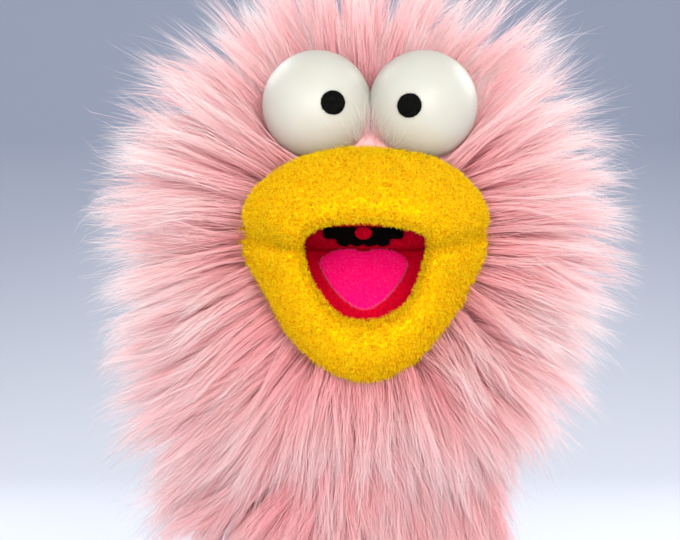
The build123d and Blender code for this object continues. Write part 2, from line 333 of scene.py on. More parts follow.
def attach(piece, slot, rule, *nodes):
    """Tie a piece to a body, or leave it tied to no body where it stands when the rule names two, and put it
    in the place of CAD nodes. slot is not used.
    """
    if isinstance(rule, str):
        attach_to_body(piece, rule)
    else:
        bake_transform(piece)
    if nodes:
        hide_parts(*nodes)


# ---------------------------------------------------------------- fibres

RING = 3
TONES = 64


def fibre_faces(rings, count):
    """Faces of many tapered three-sided fibres with a pointed tip, and which row each corner is in."""
    size = rings * RING + 1
    faces, counts, rows = [[2, 1, 0]], [3], [[0, 0, 0]]
    for r in range(rings - 1):
        for a in range(RING):
            b = (a + 1) % RING
            faces.append([r * RING + a, r * RING + b, (r + 1) * RING + b, (r + 1) * RING + a])
            rows.append([r, r, r + 1, r + 1])
            counts.append(4)
    last = (rings - 1) * RING
    for a in range(RING):
        faces.append([last + a, last + (a + 1) % RING, size - 1])
        rows.append([rings - 1, rings - 1, rings])
        counts.append(3)
    corners = np.concatenate(faces)
    all_corners = (corners[None, :] + (np.arange(count) * size)[:, None]).ravel()
    return all_corners, np.tile(counts, count), np.concatenate(rows)


def fibres_piece(name, material, lines, radius, tone, reach, rng):
    """Many fibres as one mesh. lines is (fibres, rows, 3). reach is how far each gets from root to tip."""
    count, rows, _ = lines.shape
    rings = rows - 1
    along = np.gradient(lines, axis=1)
    along = unit(along)
    side = unit(rng.normal(size=(count, 1, 3)))
    u = unit(side - (side * along).sum(-1, keepdims=True) * along)
    v = np.cross(along, u)
    t = np.linspace(0, 1, rows)
    taper = radius[:, None] * (1 - t[None, :]) ** 0.55
    points = []
    for a in range(RING):
        angle = 2 * math.pi * a / RING
        offset = math.cos(angle) * u + math.sin(angle) * v
        points.append(lines[:, :rings] + offset[:, :rings] * taper[:, :rings, None])
    body = np.stack(points, 2).reshape(count, rings * RING, 3)
    points = np.concatenate([body, lines[:, -1:]], 1).reshape(-1, 3)
    corners, counts, corner_rows = fibre_faces(rings, count)
    column = np.floor(tone * (TONES - 1e-6)) / TONES
    jitter = np.where(np.arange(len(corner_rows)) % 2, 0.25, 0.75) / TONES
    v_at = t[corner_rows][None, :] * reach[:, None]
    u_at = column[:, None] + jitter[None, :]
    uv = np.stack([u_at, v_at], -1).reshape(-1, 2)
    return new_piece(name, material, points, counts, corners, uv)


# ---------------------------------------------------------------- the furry surface


def body_radius(z):
    """The fur fabric's radius at a height, from the hem to the crown."""
    low = SLEEVE_R
    neck = low + (HEAD_BASE_R - low) * smooth(z, NECK_TOP - 0.02, HEAD_BASE)
    t = np.clip((z - HEAD_BASE) / (HEAD_Z - HEAD_BASE), 0, 1)
    cheek = HEAD_BASE_R + (HEAD_R - HEAD_BASE_R) * np.sin(t * math.pi / 2)
    dome = HEAD_R * np.sqrt(np.clip(1 - ((z - HEAD_Z) / (HEAD_TOP - HEAD_Z)) ** 2, 0, 1))
    return np.where(z < HEAD_BASE, neck, np.where(z < HEAD_Z, cheek, dome))


def body_point(z, angle):
    """Points and outward normals of the fur fabric. Angle 0 is the front."""
    r = body_radius(z)
    step = 0.0004
    slope = (body_radius(z + step) - body_radius(z - step)) / (2 * step)
    slope = np.clip(slope, -12, 12)
    out = np.stack([np.sin(angle), -np.cos(angle), np.zeros_like(angle)], -1)
    point = out * r[:, None]
    point[:, 2] = z
    normal = out.copy()
    normal[:, 2] = -slope
    return point, unit(normal)


def body_samples(count, low_z, high_z, rng):
    """Heights and angles spread evenly over the fabric's area."""
    z = np.linspace(low_z, high_z, 4000)
    r = body_radius(z)
    weight = r * np.sqrt(1 + np.gradient(r, z) ** 2)
    total = np.concatenate([[0], np.cumsum((weight[1:] + weight[:-1]) / 2)])
    total /= total[-1]
    return np.interp(rng.random(count), total, z), rng.uniform(-math.pi, math.pi, count)


# ---------------------------------------------------------------- muzzle
# Both lips are one padded ring round the mouth, described as seen from the front.
# Turn 0 is towards +X and turn 90 degrees is up.

MOUTH_X = 0.0
MOUTH_Z = 191 * MM
LIP_TOP_H = 30.4 * MM       # the upper lip above the fold
LIP_LOW_H = 53.4 * MM       # the lower lip's tip below the fold
LIP_TOP_N = 2.15            # squareness of the two outlines, the lower one across and down
LIP_LOW_N = (2.0, 1.06)
CORNER_Z = -2.2 * MM        # the lips' corners from the fold
OPEN_HALF_W = 23.4 * MM
OPEN_UP = 6.7 * MM
OPEN_DOWN = 30.2 * MM
CREASE = 10.5 * MM          # how deep the fold at each corner is, and how wide
CREASE_TURN = math.radians(6)
LIP_BACK_Y = -18 * MM
FELT_HALF_W = 25.2 * MM     # half the width of the palate and floor felts, and their depth
FELT_DEPTH = 50.3 * MM
LIP_COLUMNS = 560
CURLS = 10500               # in each of the three pieces of a lip's yarn ends


def reach(turn, inside):
    """How far an outline reaches from the mouth's middle. inside(x, z) says which points lie within it."""
    c, s = np.cos(turn), np.sin(turn)
    low, high = np.zeros_like(turn), np.full_like(turn, 80 * MM)
    for _ in range(36):
        middle = (low + high) / 2
        within = inside(np.abs(middle * c), middle * s + MOUTH_Z - (FACE_Z + CORNER_Z))
        low, high = np.where(within, middle, low), np.where(within, high, middle)
    return low


def outer_outline(turn):
    """The muzzle's outline: round above its corners, and nearly a V with a round tip below them."""
    def inside(x, z):
        over = (x / LIP_HALF_W) ** LIP_TOP_N + (np.abs(z) / (LIP_TOP_H - CORNER_Z)) ** LIP_TOP_N
        under = (x / LIP_HALF_W) ** LIP_LOW_N[0] + (np.abs(z) / (LIP_LOW_H + CORNER_Z)) ** LIP_LOW_N[1]
        return np.where(z > 0, over, under) < 1
    return reach(turn, inside)


def inner_outline(turn):
    """The open mouth's outline: nearly flat above its corners, and a deep U below them."""
    def inside(x, z):
        over = (x / OPEN_HALF_W) ** 2.2 + (np.abs(z) / OPEN_UP) ** 1.6
        under = (x / OPEN_HALF_W) ** 2.35 + (np.abs(z) / OPEN_DOWN) ** 1.7
        return np.where(z > 0, over, under) < 1
    return reach(turn, inside)


CREASE_AT = math.atan2(FACE_Z + CORNER_Z - MOUTH_Z, 35 * MM)


def up_and_down(turn):
    """How much of each turn belongs to the upper and to the lower lip."""
    s = np.sin(turn)
    return smooth(s, -0.1, 0.9), smooth(-s, 0.0, 0.9)


def lip_front(turn):
    """How far forward the outer edge of the lips lies at each turn."""
    top, low = up_and_down(turn)
    return -(38 + 14 * top + 9 * low) * MM


def ring_sections(turn, rows=72):
    """The ring's section at each turn, as (rows, turns, 3), from its back round the front to the rim."""
    c, s = np.cos(turn), np.sin(turn)
    outer, inner = outer_outline(turn), inner_outline(turn)
    side = np.abs(c) ** 1.6
    top, low = up_and_down(turn)
    y_out = lip_front(turn)
    y_in = -(62 + 19 * top - 2 * low) * MM
    bulge = (16.5 + 4 * top - 1.5 * side) * MM
    to_crease = np.minimum(np.abs(turn - CREASE_AT), np.abs(turn - (math.pi - CREASE_AT)))
    groove = np.exp(-(to_crease / CREASE_TURN) ** 2)

    def place(radius, y):
        return np.stack([MOUTH_X + radius * c, y, MOUTH_Z + radius * s], -1)

    grid = []
    for e in np.linspace(0, 1, 10, endpoint=False):
        tuck = 1 - 0.10 * (1 - e) ** 2
        grid.append(place(outer * tuck, LIP_BACK_Y + (y_out - LIP_BACK_Y) * e))
    for e in np.linspace(0, 1, rows):
        a = math.pi * e
        across = (1 - math.cos(a)) / 2
        swell = math.sin(a) ** 0.85
        radius = outer + (inner - outer) * across
        y = y_out + (y_in - y_out) * across - bulge * swell
        pinch = groove * (0.35 + 0.65 * swell)
        y = y + CREASE * pinch
        radius = radius - np.where(e < 0.5, 1, 0) * groove * (1 - across) ** 3 * 2.2 * MM
        grid.append(place(radius, y))
    return np.stack(grid)


def swing(points, angle):
    """Turn points about the jaw's hinge."""
    c, s = math.cos(angle), math.sin(angle)
    moved = points - FOLD
    y = moved[..., 1] * c - moved[..., 2] * s
    z = moved[..., 1] * s + moved[..., 2] * c
    return np.stack([moved[..., 0], y, z], -1) + FOLD


def felt_edge(turn, upper):
    """Where the ring's inner wall meets the felt, for each turn."""
    if upper:
        run = np.clip(np.cos(turn), -1, 1)
        x = FELT_HALF_W * np.sign(run) * np.abs(run) ** 0.85
        forward = FELT_DEPTH * np.sqrt(np.clip(1 - (x / (FELT_HALF_W + 0.1 * MM)) ** 2, 0, 1))
        return np.stack([x, FOLD[1] - forward, np.full_like(x, FACE_Z + 6.4 * MM)], -1)
    depth = np.clip(-np.sin(turn), 0, 1)
    forward = (8 + 42.4 * depth ** 0.8) * MM
    round_off = np.sqrt(np.clip(1 - (forward / (FELT_DEPTH + 0.1 * MM)) ** 2, 0, 1))
    x = np.sign(np.cos(turn)) * FELT_HALF_W * round_off
    closed = np.stack([x, FOLD[1] - forward, np.full_like(x, FACE_Z - 4.4 * MM)], -1)
    return swing(closed, JAW_OPEN)


def fleece_bumps(grid):
    """Move the cover's points in and out, in soft lumps and in fine curls."""
    points = grid.reshape(-1, 3)
    du = np.gradient(grid, axis=1)
    dv = np.gradient(grid, axis=0)
    normal = unit(np.cross(dv, du))
    outward = grid - grid.mean(0, keepdims=True)
    flip = np.where((normal * outward).sum(-1, keepdims=True) < 0, -1, 1)
    normal = (normal * flip).reshape(-1, 3)
    lumps = (value_noise(points, 0.012) - 0.5) * 1.5 * MM
    curls = (value_noise(points, 0.0014) - 0.5) * 0.6 * MM
    fine = (value_noise(points + 3, 0.0007) - 0.5) * 0.5 * MM
    return (points + normal * (lumps + curls + fine)[:, None]).reshape(grid.shape), normal


def push_off_eyes(points, gap):
    """Move points that lie in an eye ball out to its surface and a gap beyond."""
    clear = EYE_R + gap
    for centre in EYES.values():
        away = points - centre
        distance = np.linalg.norm(away, axis=-1, keepdims=True)
        points = np.where(distance < clear, centre + away / distance * clear, points)
    return points


def lip_turns(upper):
    """The turns of a lip's columns, in -90 to 270 degrees, from one corner to the other."""
    edge = 0.004
    if upper:
        return np.linspace(CREASE_AT + edge, math.pi - CREASE_AT - edge, LIP_COLUMNS)
    turn = np.linspace(math.pi - CREASE_AT + edge, 2 * math.pi + CREASE_AT - edge, LIP_COLUMNS)
    return np.where(turn > 1.5 * math.pi, turn - 2 * math.pi, turn)


def lip_grid(upper):
    """All rows of one lip, closed round its section."""
    turn = lip_turns(upper)
    front = ring_sections(turn)
    rim = front[-1]
    edge = felt_edge(turn, upper)
    wall = [rim + (edge - rim) * e for e in np.linspace(0.06, 1, 14)]
    inside = [edge + (front[0] - edge) * e for e in (0.33, 0.67)]
    return np.stack([*front, *wall, *inside]), len(front)


def make_lip(name, upper):
    grid, visible = lip_grid(upper)
    shape, normal = fleece_bumps(grid)
    weight = np.ones(len(grid))
    weight[visible:] = np.clip(1 - np.arange(len(grid) - visible) / 6, 0, 1)
    grid = grid + (shape - grid) * weight[:, None, None]
    if upper:
        grid = push_off_eyes(grid, 0.3 * MM)
    rows, columns, _ = grid.shape
    # the sections run round, so rows wrap and columns end in caps
    piece = grid_piece(name, FLEECE, np.swapaxes(grid, 0, 1)[:, ::-1], caps=(0, 1))
    return piece, grid[:visible + 5], normal.reshape(rows, columns, 3)[:visible + 5]


def curls_piece(name, surface, normals, count, rng):
    """Short curly yarn ends standing all over a lip."""
    a = surface[:-1, :-1]
    area = np.linalg.norm(np.cross(surface[1:, :-1] - a, surface[:-1, 1:] - a), axis=-1).ravel()
    total = np.cumsum(area)
    pick = np.searchsorted(total / total[-1], rng.random(count))
    i, j = np.unravel_index(np.minimum(pick, len(area) - 1), a.shape[:2])
    f, g = rng.random((2, count, 1))
    root = surface[i, j] + (surface[i + 1, j] - surface[i, j]) * f + (surface[i, j + 1] - surface[i, j]) * g
    out = normals[i, j]
    flat = unit(np.cross(out, rng.normal(size=(count, 3))))
    other = np.cross(out, flat)
    lean = rng.uniform(0.2, 1.0, (count, 1))
    height = (0.9 + 2.6 * rng.random((count, 1)) ** 1.6) * MM
    curl = rng.uniform(0.35, 1.2, (count, 1)) * MM
    lines = []
    for t in np.linspace(0, 1, 4):
        swirl = t * math.pi * 1.5
        side = flat * (math.sin(swirl) * curl) + other * ((1 - math.cos(swirl)) * curl * 0.8)
        rise = out * (height * t * (1 - 0.25 * t) - 0.25 * MM)
        lines.append(root + rise + side + flat * lean * t * 0.8 * MM)
    lines = np.stack(lines, 1)
    patch = value_noise(root, 0.0022) - 0.5
    tone = np.clip(0.5 + patch * 0.25 + rng.normal(0, 0.36, count), 0, 0.999)
    radius = rng.uniform(0.10, 0.19, count) * MM
    return fibres_piece(name, YELLOW_FIBRE, lines, radius, tone, np.ones(count), rng)


CORNER_BLEND = ("head", "jaw", (0, -55 * MM, FACE_Z - 1.5 * MM), (0, -55 * MM, FACE_Z - 25 * MM))


def make_muzzle():
    """Both lips with their yarn ends. The upper one goes with the head, and the lower one is tied to no body.
    """
    rng = np.random.default_rng(SEED + 50)
    for side, rule in (("upper", "head"), ("lower", CORNER_BLEND)):
        lip, surface, normals = make_lip(f"{side}_lip_fleece", side == "upper")
        attach(lip, "yellow_fleece", rule, f"{side}_lip_cover", f"{side}_lip_foam")
        for n in (1, 2, 3):
            curls = curls_piece(f"{side}_lip_curls_{n}", surface, normals, CURLS, rng)
            attach(curls, "yellow_fleece", rule)


def make_mouth_sides():
    """Red felt from the floor's edge up to the lower lip's rim, closing the mouth's corners."""
    turn = lip_turns(False)
    rim = ring_sections(turn)[-1] + np.array([0, 5.5 * MM, 0])
    rim = rim + (np.array([MOUTH_X, 0, MOUTH_Z]) - rim) * np.array([0.022, 0, 0.022])
    edge = felt_edge(turn, False)
    edge = edge + (np.array([MOUTH_X, 0, MOUTH_Z]) - edge) * np.array([0.02, 0, 0.02])
    edge = edge + np.array([0, -0.3 * MM, 0.3 * MM])
    ends = smooth(np.abs(np.cos(turn)), 0.86, 1.0)[:, None]
    top = np.stack([np.sign(np.cos(turn)) * 24.4 * MM, np.full_like(turn, -20 * MM),
                    np.full_like(turn, FACE_Z + 1 * MM)], -1)
    edge = edge * (1 - ends) + top * ends
    sheet = np.stack([rim + (edge - rim) * e for e in np.linspace(0, 1, 24)], 1)
    thick = sheet + np.array([0, 0.5 * MM, 0])
    shape = np.concatenate([sheet, thick[:, ::-1]], 1)
    piece = grid_piece("mouth_side_felt", RED_FELT, shape[:, ::-1], caps=(0, 1))
    attach(piece, "red_felt", CORNER_BLEND)


make_muzzle()
make_mouth_sides()

# ---------------------------------------------------------------- fur

FACE_CENTRE = np.array([0.0, 0.0, 210 * MM])
HAIR_ROWS = 6
LOCK_ROWS = 15
DENSITY = 1.44              # hairs per square millimetre
LOCK_AREA = 34 * MM * MM
MAX_FIBRES = 7000           # in one piece
SPLIT_Z = 235 * MM          # the crown's hair is above this, and the head's hair above the next one
HEAD_HAIR_LOW = 160 * MM
SLEEVE_SPLIT_Z = 66 * MM
JAW_HAIR_TOP = 196 * MM
JAW_HAIR_Y = -14 * MM       # the hair ahead of this goes in the jaw side and chin pieces
# the head and the jaw with two points, for the fabric under the lower lip; attach ties pieces with such a
# rule to no body
JAW_FOLLOW = ("head", "jaw", (0, JAW_HAIR_Y, 168 * MM), (0, -86 * MM, 156 * MM))
TURN_BLEND = ("sleeve", "neck", (0, 0, 62 * MM), (0, 0, WRIST_Z))
NOD_BLEND = ("neck", "head", (0, 0, WRIST_Z), (0, 0, 166 * MM))
OUTER_X = 111 * MM          # how far the farthest tips may reach
OUTER_BACK = 110 * MM
OUTER_TOP = 321 * MM


def seen_from_mouth(x, z):
    """The turn and the distance of points from the mouth's middle, as seen from the front."""
    turn = np.arctan2(z - MOUTH_Z, x - MOUTH_X)
    return np.where(turn < -math.pi / 2, turn + 2 * math.pi, turn), np.hypot(x - MOUTH_X, z - MOUTH_Z)


def in_face(points):
    """Whether points of the fabric lie behind the muzzle or the eyes, where no hair is rooted."""
    x, y, z = points.T
    turn, far = seen_from_mouth(x, z)
    hidden = far < outer_outline(turn) * 0.84
    for centre in EYES.values():
        hidden |= np.linalg.norm(points - centre, axis=1) < EYE_R + 0.4 * MM
    return (y < -8 * MM) & hidden


def covers_face(lines):
    """Whether each hair crosses in front of an eye or the muzzle, where the real one was combed aside."""
    x, y, z = lines[..., 0], lines[..., 1], lines[..., 2]
    near = np.zeros(x.shape, bool)
    for centre in EYES.values():
        near |= (np.hypot(x - centre[0], z - centre[2]) < EYE_R + 0.6 * MM) & (y < -36 * MM)
        near |= np.linalg.norm(lines - centre, axis=-1) < EYE_R + 0.5 * MM
    turn, far = seen_from_mouth(x, z)
    inside = np.interp(turn, TURN_STEPS, OUTLINE_STEPS) - far
    front = np.interp(turn, TURN_STEPS, lip_front(TURN_STEPS))
    near |= (inside > 1.5 * MM) & (y < front - 1.2 * np.clip(inside, 0, 5 * MM))
    return near.any(1)


TURN_STEPS = np.linspace(-math.pi / 2, 1.5 * math.pi, 720)
OUTLINE_STEPS = outer_outline(TURN_STEPS)


def flow(points, size):
    """A smooth random direction that neighbouring locks share."""
    return np.stack([value_noise(points + n * 7.3 + 1.0, size) - 0.5 for n in range(3)], -1) * 2


def hair_direction(points):
    """Which way the hair leans: away from the face at the front, and down the back and the sleeve."""
    away = points - FACE_CENTRE
    away[:, 1] = 0
    away = unit(away)
    down = np.array([0, 0, -1.0])
    head = smooth(points[:, 2], WRIST_Z, 178 * MM)[:, None]
    front = smooth(-points[:, 1], -30 * MM, 30 * MM)[:, None]
    behind = smooth(points[:, 1], -25 * MM, 25 * MM)[:, None]
    lean = away * (0.10 + 1.0 * front) + down * (0.65 * (1 - front)) + np.array([0, 0.4, 0]) * behind
    left = smooth(-points[:, 0], 0, 40 * MM)[:, None] * smooth(points[:, 2], 90 * MM, 130 * MM)[:, None]
    sleeve = down * 1.4 + np.array([-0.75, 0, 0.3]) * left
    return lean * head + sleeve * (1 - head) + np.array([-0.75, 0, 0.28]) * lower_left(points)[:, None]


def lower_left(points):
    """How much of a point lies at the lower left of the face, where the hair is swept out sideways."""
    z = points[:, 2]
    rise = smooth(z, 85 * MM, 115 * MM) * (1 - smooth(z, 165 * MM, 200 * MM))
    return smooth(-points[:, 0], 4 * MM, 36 * MM) * rise


def hair_length(points):
    """Shorter round the face's edge and on the sleeve, longest on the cheeks and the crown."""
    head = smooth(points[:, 2], 110 * MM, 165 * MM)
    crown = smooth(points[:, 2], 235 * MM, 262 * MM)
    left = smooth(-points[:, 0], 0, 40 * MM) * (1 - head) * smooth(points[:, 2], 90 * MM, 130 * MM)
    right = smooth(points[:, 0], 8 * MM, 36 * MM) * (1 - smooth(points[:, 2], 170 * MM, 205 * MM))
    return (40 + 14 * head - 2 * crown + 12 * left + 5 * lower_left(points) - 7 * right * head) * MM


def lock_guides(locks, normals, rng):
    """A curved centre line for each lock."""
    count = len(locks)
    lean = hair_direction(locks)
    head = smooth(locks[:, 2], WRIST_Z, 185 * MM)[:, None]
    length = hair_length(locks) * rng.uniform(0.72, 1.22, count)
    drift = flow(locks, 0.024) * 0.50 + flow(locks + 5, 0.009) * 0.42
    start = unit(normals * (0.40 + 0.60 * head) + lean * (0.75 - 0.30 * head) + drift * 0.7)
    end = unit(normals * (0.05 + 0.87 * head) + lean + drift * 1.15 + rng.normal(0, 0.16, (count, 3)))
    droop = np.array([0, 0, -1.0]) * rng.uniform(0.12, 0.42, (count, 1))
    curl = rng.normal(0, 0.20, (count, 3))
    t = np.linspace(0, 1, LOCK_ROWS)
    mix = smooth(t, 0.0, 0.6)[None, :, None]
    heading = start[:, None] * (1 - mix) + end[:, None] * mix
    heading = heading + droop[:, None] * (t ** 1.6)[None, :, None] + curl[:, None] * (t ** 2)[None, :, None]
    steps = unit(heading) * (length[:, None, None] / (LOCK_ROWS - 1))
    return np.concatenate([np.zeros((count, 1, 3)), np.cumsum((steps[:, 1:] + steps[:, :-1]) / 2, 1)], 1)


def nearest(points, sites):
    tree = KDTree(len(sites))
    for n, p in enumerate(sites):
        tree.insert(p, n)
    tree.balance()
    return np.array([tree.find(p)[1] for p in points])


def fur_lines(roots, locks, lock_normals, rng):
    """Hairs that gather into wisps, and wisps that gather into locks, with some loose ones."""
    guide = lock_guides(locks, lock_normals, rng)
    owner = nearest(roots, locks)
    wisps = roots[rng.choice(len(roots), max(1, len(roots) // 5), replace=False)]
    wisp = nearest(roots, wisps)
    wisp_owner = nearest(wisps, locks)
    owner = np.where(rng.random(len(roots)) < 0.85, wisp_owner[wisp], owner)
    count = len(roots)
    loose = rng.random(count) < 0.16
    part = np.where(loose, rng.uniform(0.6, 1.1, count), rng.uniform(0.55, 1.0, count) ** 0.7)
    gather = rng.uniform(0.45, 0.9, len(locks))[owner] * rng.uniform(0.85, 1.0, count)
    gather = np.where(loose, rng.uniform(-0.3, 0.4, count), gather)
    pinch = np.where(loose, 0.2, rng.uniform(0.7, 0.95, count))
    s = np.linspace(0, 1, HAIR_ROWS)
    u = s[None, :] * part[:, None]
    along = np.clip(u, 0, 1) * (LOCK_ROWS - 1)
    low = np.minimum(along.astype(int), LOCK_ROWS - 2)
    frac = (along - low)[..., None]
    path = guide[owner]
    pick = np.arange(count)[:, None]
    line = path[pick, low] * (1 - frac) + path[pick, low + 1] * frac
    to_lock = wisps[wisp] - locks[owner]
    to_wisp = roots - wisps[wisp]
    keep_lock = 1 - gather[:, None] * smooth(u, 0.05, 1.0)
    keep_wisp = 1 - pinch[:, None] * smooth(u, 0.0, 0.6)
    line = line + locks[owner][:, None] + to_lock[:, None] * keep_lock[..., None]
    line = line + to_wisp[:, None] * keep_wisp[..., None]
    wisp_sway = rng.normal(0, 1, (len(wisps), 3))[wisp] * 2.6 * MM
    own_sway = rng.normal(0, 1, (count, 3)) * np.where(loose, 5.0, 1.1)[:, None] * MM
    ripple = rng.normal(0, 1, (count, 3)) * 0.7 * MM
    phase = rng.uniform(0, 2 * math.pi, (count, 1))
    line += (wisp_sway + own_sway)[:, None] * (u ** 1.5)[..., None]
    line += ripple[:, None] * (np.sin(phase + u * 8.0) * u)[..., None]
    patch = (value_noise(wisps + 2.0, 0.014) - 0.5)[wisp] * 0.5
    pinker = 0.38 * (1 - smooth(roots[:, 2], 110 * MM, 200 * MM))
    tone = 0.54 - pinker + patch + rng.normal(0, 0.12, len(wisps))[wisp] + rng.normal(0, 0.14, count)
    tone = np.clip(tone, 0, 0.999)
    return line, tone, part


def keep_inside(lines):
    """Bend the farthest tips back inside the object's size."""
    def limit(value, soft, hard):
        over = np.clip(value - soft, 0, None)
        return np.where(over > 0, soft + (hard - soft) * (1 - np.exp(-over / (hard - soft))), value)

    x, y, z = lines[..., 0], lines[..., 1], lines[..., 2]
    x = np.sign(x) * limit(np.abs(x), 0.88 * OUTER_X, OUTER_X)
    y = limit(y, 0.88 * OUTER_BACK, OUTER_BACK)
    y = -limit(-y, 82 * MM, 96 * MM)
    z = limit(z, 300 * MM, OUTER_TOP)
    z = np.maximum(z, 1.5 * MM + 0.25 * np.clip(z, 0, 6 * MM))
    return np.stack([x, y, z], -1)


def fur_region(name, low_z, high_z, density, keep=None):
    """Lines of hair for a band of the fabric, at a number of hairs per square millimetre."""
    rng = np.random.default_rng(SEED + sum(map(ord, name)))
    z = np.linspace(low_z, high_z, 400)
    r = body_radius(z)
    area = (2 * math.pi * r * np.sqrt(1 + np.gradient(r, z) ** 2)).mean() * (high_z - low_z)
    heights, angles = body_samples(int(area / MM ** 2 * density), low_z, high_z, rng)
    roots, _ = body_point(np.clip(heights, low_z, HEAD_TOP - 1e-5), angles)
    ok = ~in_face(roots)
    if keep is not None:
        ok &= keep(roots)
    roots, angles = roots[ok], angles[ok]
    heights, lock_angles = body_samples(int(area / LOCK_AREA), low_z - 0.004, high_z + 0.002, rng)
    locks, lock_normals = body_point(np.clip(heights, low_z, HEAD_TOP - 1e-5), lock_angles)
    ok = ~in_face(locks)
    locks, lock_normals = locks[ok], lock_normals[ok]
    line, tone, part = fur_lines(roots, locks, lock_normals, rng)
    line = keep_inside(line)
    ok = ~covers_face(line)
    return line[ok], tone[ok], part[ok], angles[ok], rng


def fur_pieces(name, region, rule, *nodes):
    """Cut a region of hair into pieces by angle, so that no mesh is too heavy. The first replaces nodes."""
    line, tone, part, angle, rng = region
    slices = math.ceil(len(line) / MAX_FIBRES)
    order = np.argsort(angle)
    radius = rng.uniform(0.07, 0.12, len(line)) * MM
    for n, chosen in enumerate(np.array_split(order, slices)):
        piece = fibres_piece(f"{name}_{n + 1}", PINK_FUR, line[chosen], radius[chosen], tone[chosen],
                             part[chosen], rng)
        attach(piece, "pink_fur", rule, *(() if n else nodes))


def follows_jaw(points):
    return (points[:, 2] < JAW_HAIR_TOP) & (points[:, 1] < JAW_HAIR_Y)


def on_cheek(points):
    return (points[:, 2] <= SPLIT_Z) & (points[:, 1] < 0) & ~follows_jaw(points)


def make_fur():
    """All the hair, each region with its heights, its density, its bodies and the place it is kept to."""
    for name, low_z, high_z, density, rule, keep, *nodes in (
            ("crown_hair", HEAD_HAIR_LOW, HEAD_TOP, DENSITY, "head",
             lambda p: p[:, 2] > SPLIT_Z, "crown_fur"),
            ("left_cheek_hair", HEAD_HAIR_LOW, HEAD_TOP, DENSITY, "head",
             lambda p: on_cheek(p) & (p[:, 0] < 0), "left_cheek_fur"),
            ("right_cheek_hair", HEAD_HAIR_LOW, HEAD_TOP, DENSITY, "head",
             lambda p: on_cheek(p) & (p[:, 0] >= 0), "right_cheek_fur"),
            ("back_hair", HEAD_HAIR_LOW, HEAD_TOP, DENSITY, "head",
             lambda p: (p[:, 2] <= SPLIT_Z) & (p[:, 1] >= 0), "back_fur"),
            ("neck_hair", WRIST_Z, HEAD_HAIR_LOW, DENSITY, NOD_BLEND, None, "neck_fur"),
            ("jaw_side_hair", 152 * MM, JAW_HAIR_TOP, DENSITY, JAW_FOLLOW, follows_jaw),
            ("chin_hair", 126 * MM, 156 * MM, 0.8, JAW_FOLLOW,
             lambda p: (p[:, 1] < JAW_HAIR_Y) & (np.abs(p[:, 0]) < 36 * MM), "chin_fur"),
            ("sleeve_top_hair", SLEEVE_SPLIT_Z, WRIST_Z, DENSITY * 0.85, TURN_BLEND, None,
             "sleeve_fur_front"),
            ("sleeve_hair", SLEEVE_LOW + 2 * MM, SLEEVE_SPLIT_Z, DENSITY * 0.72, "sleeve", None,
             "sleeve_fur_back")):
        fur_pieces(name, fur_region(name, low_z, high_z, density, keep), rule, *nodes)


make_fur()


def bent_lines(roots, heading, bend, length, rows):
    """Single hairs that set off along a heading and bend evenly on their way."""
    t = np.linspace(0, 1, rows)[None, :, None]
    return roots[:, None] + length[:, None] * (heading[:, None] * t + bend[:, None] * t ** 2)


def loose_hair(name, lines, radius, tone, rng):
    piece = fibres_piece(name, PINK_FUR, lines, radius, tone, np.full(len(lines), 0.9), rng)
    attach(piece, "pink_fur", "head")


def make_bridge_tuft():
    """The little tuft that fills the gap between the eyes and the upper lip."""
    rng = np.random.default_rng(SEED + 90)
    count = 900
    root = np.array([SEAM_X, -38 * MM, 233 * MM]) + rng.uniform(-1, 1, (count, 3)) * np.array([10, 5, 3]) * MM
    heading = unit(np.array([0, -0.75, 0.65]) + rng.normal(0, 0.30, (count, 3)))
    length = rng.uniform(9, 21, count)[:, None] * MM
    bend = rng.normal(0, 0.25, (count, 3)) + np.array([0, -0.1, 0.1])
    lines = push_off_eyes(bent_lines(root, heading, bend, length, HAIR_ROWS), 0.5 * MM)
    ok = lines[..., 2].min(1) > 231 * MM
    tone = np.clip(rng.normal(0.6, 0.15, count), 0, 0.99)
    loose_hair("bridge_tuft", lines[ok], np.full(ok.sum(), 0.09 * MM), tone[ok], rng)


def make_brow_hair():
    """Short hair between the eyes and the crown, combed up so that it clears the eye balls."""
    rng = np.random.default_rng(SEED + 91)
    heights, angles = body_samples(60000, 226 * MM, HEAD_TOP - 0.3 * MM, rng)
    roots, normals = body_point(heights, angles)
    near = np.min([np.linalg.norm(roots - c, axis=1) for c in EYES.values()], axis=0)
    ok = (roots[:, 1] < -4 * MM) & (roots[:, 2] > 236 * MM)
    ok &= (near > EYE_R + 0.3 * MM) & (near < EYE_R + 13 * MM)
    chosen = rng.permutation(np.nonzero(ok)[0])[:6500]
    roots, normals = roots[chosen], normals[chosen]
    count = len(roots)
    sideways = np.stack([np.sign(roots[:, 0]) * 0.35, np.full(count, 0.25), np.full(count, 0.85)], -1)
    heading = unit(normals * 0.55 + sideways + flow(roots, 0.008) * 0.5 + rng.normal(0, 0.14, (count, 3)))
    bend = flow(roots + 3, 0.01) * 0.3 + np.array([0, 0.15, -0.1])
    length = rng.uniform(18, 34, count)[:, None] * MM
    lines = keep_inside(push_off_eyes(bent_lines(roots, heading, bend, length, HAIR_ROWS), 0.5 * MM))
    lines = lines[~covers_face(lines)]
    count = len(lines)
    tone = np.clip(0.5 + rng.normal(0, 0.2, count), 0, 0.99)
    loose_hair("brow_hair", lines, rng.uniform(0.07, 0.12, count) * MM, tone, rng)


make_bridge_tuft()
make_brow_hair()

# ---------------------------------------------------------------- skins and linings


